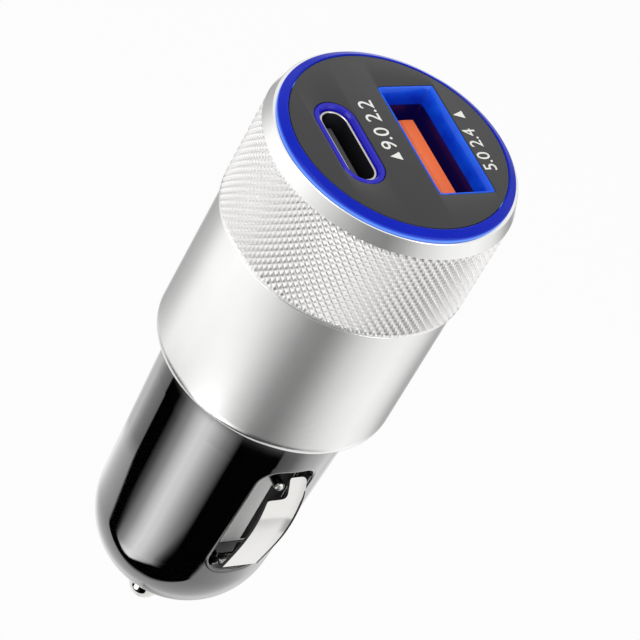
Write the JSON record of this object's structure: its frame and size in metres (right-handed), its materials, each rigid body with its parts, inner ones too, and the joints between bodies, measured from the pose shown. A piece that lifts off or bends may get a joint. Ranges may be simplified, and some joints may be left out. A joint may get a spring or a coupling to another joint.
{
  "type": "car usb charger plug",
  "caption": "Round charger plug for a vehicle socket: knurled metal head with USB-A and USB-C ports and a lit blue ring, glossy black plug with side springs and a sprung tip.",
  "frame": {"origin": "on the plug's axis, in the plane of the head's lower shoulder, where the plug's collar begins", "axes": "+Z along the plug's axis up to the ports, +X along the ports' long sides, so the ground springs lie at +X and -X; +Y from the USB-C port to the USB-A port"},
  "size_m": [0.0256, 0.0256, 0.0681],
  "materials": {
    "sleeve_aluminium": "turned and bead-blasted, clear anodised, satin; knurled grip band",
    "body_black": "high-gloss moulded black",
    "inner_plastic": "moulded, matt",
    "light_blue": "translucent polycarbonate lit blue from inside",
    "face_grey": "moulded dark grey, satin gloss",
    "nickel": "nickel-plated sheet",
    "tongue_orange": "moulded orange",
    "gold": "gold-flashed contacts",
    "tongue_grey": "moulded dark grey",
    "spring_nickel": "polished nickel-plated spring strip",
    "tip_nickel": "polished nickel-plated brass",
    "spring_steel": "drawn spring wire",
    "laminate": "green solder mask on glass laminate",
    "led_resin": "clear yellowish resin",
    "ferrite": "sintered ferrite, matt",
    "copper": "enamelled copper wire",
    "can_aluminium": "sleeved aluminium can",
    "chip_black": "moulded epoxy",
    "ceramic": "fired ceramic with tinned ends"
  },
  "bodies": {
    "housing": {"head_sleeve": "sleeve_aluminium", "plug_body": "body_black", "inner_sleeve": "inner_plastic", "light_ring": "light_blue", "face_plate": "face_grey", "usb_a_bezel": "light_blue", "usb_c_bezel": "light_blue", "usb_a_shell": "nickel", "usb_a_tongue": "tongue_orange", "usb_a_contacts": "gold", "usb_c_shell": "nickel", "usb_c_tongue": "tongue_grey", "usb_c_contacts": "gold", "ground_terminal_right": "nickel", "ground_terminal_left": "nickel", "tip_spring": "spring_steel", "tip_terminal": "nickel", "port_board": "laminate", "main_board": "laminate", "status_leds": "led_resin", "inductor_core": "ferrite", "inductor_winding": "copper", "input_capacitor": "can_aluminium", "output_capacitor": "can_aluminium", "buck_controller": "chip_black", "port_controller": "chip_black", "fuse": "ceramic", "chip_parts": "ceramic"},
    "tip": {"tip_contact": "tip_nickel"},
    "spring_right": {"ground_spring_right": "spring_nickel"},
    "spring_left": {"ground_spring_left": "spring_nickel"}
  },
  "joints": [
    {"name": "tip_press", "type": "slide", "parent": "housing", "child": "tip", "axis": [0, 0, 1], "range_m": [0, 0.003], "stiffness_N_per_m": 1200, "springref_m": -0.002, "deforming": ["tip_spring"]},
    {"name": "spring_right_flex", "type": "hinge", "parent": "housing", "child": "spring_right", "pos_m": [0.0087, 0, -0.0202], "axis": [0, -1, 0], "range_deg": [0, 8.5], "stiffness_Nm_per_rad": 0.35, "springref_deg": -2.86},
    {"name": "spring_left_flex", "type": "hinge", "parent": "housing", "child": "spring_left", "pos_m": [-0.0087, 0, -0.0202], "axis": [0, 1, 0], "range_deg": [0, 8.5], "stiffness_Nm_per_rad": 0.35, "springref_deg": -2.86}
  ]
}
